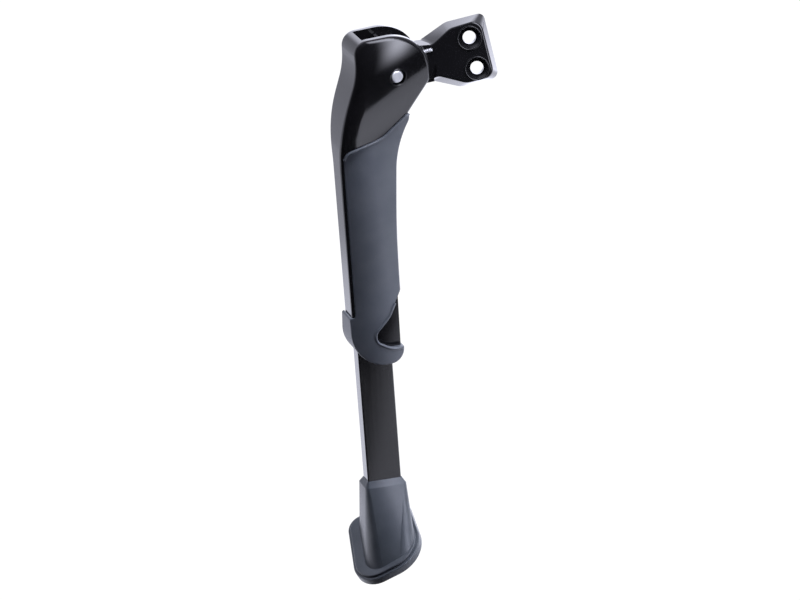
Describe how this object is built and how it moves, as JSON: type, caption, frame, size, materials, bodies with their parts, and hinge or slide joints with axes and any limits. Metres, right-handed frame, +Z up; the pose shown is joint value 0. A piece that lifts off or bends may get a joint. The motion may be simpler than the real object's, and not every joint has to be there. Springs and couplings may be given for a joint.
{
  "type": "bicycle kickstand",
  "caption": "Folding side stand for a bicycle frame plate: bolted bracket with a sprung hinge, a black cast housing with a grey cover, a telescopic flat leg and a slanted rubber foot.",
  "frame": {"origin": "on the clamping face, halfway between the two bolt holes", "axes": "+Y from the viewer's side through the plate towards the bicycle frame's plate, +Z up along the line of bolts, +X to the right of a viewer who faces the outer side"},
  "size_m": [0.1551, 0.0957, 0.333],
  "materials": {
    "black_paint": "gloss black paint on forged steel",
    "black_paint_alloy": "gloss black paint on cast aluminium",
    "black_alloy": "satin black anodised",
    "steel": "bright",
    "bronze": "plain bearing bush",
    "grey_plastic": "fine grain, moulded",
    "grey_rubber": "fine grain, moulded"
  },
  "bodies": {
    "bracket": {"mount_bracket": "black_paint", "stop_pin": "steel", "pivot_bush": "bronze", "thrust_washer_front": "steel", "thrust_washer_back": "steel"},
    "housing": {"leg_housing": "black_paint_alloy", "pivot_pin": "steel", "detent_spring": "steel", "cover": "grey_plastic", "cover_screw": "steel", "clamp_screws": "steel", "clamp_pad": "steel"},
    "plunger": {"detent_plunger": "steel"},
    "leg": {"leg_bar": "black_alloy", "foot": "grey_rubber", "foot_pin": "steel"}
  },
  "joints": [
    {"name": "fold", "type": "hinge", "parent": "bracket", "child": "housing", "pos_m": [-0.0481, -0.0104, 0.0026], "axis": [-0.2871, 0.924, 0.2526], "range_deg": [0, 94]},
    {"name": "leg_length", "type": "slide", "parent": "housing", "child": "leg", "axis": [-0.1692, 0.2106, -0.9628], "range_m": [-0.025, 0.03]},
    {"name": "plunger_travel", "type": "slide", "parent": "housing", "child": "plunger", "axis": [-0.4522, 0.1017, -0.8861], "range_m": [-0.0011, 0], "stiffness_N_per_m": 8000, "springref_m": -0.003}
  ]
}
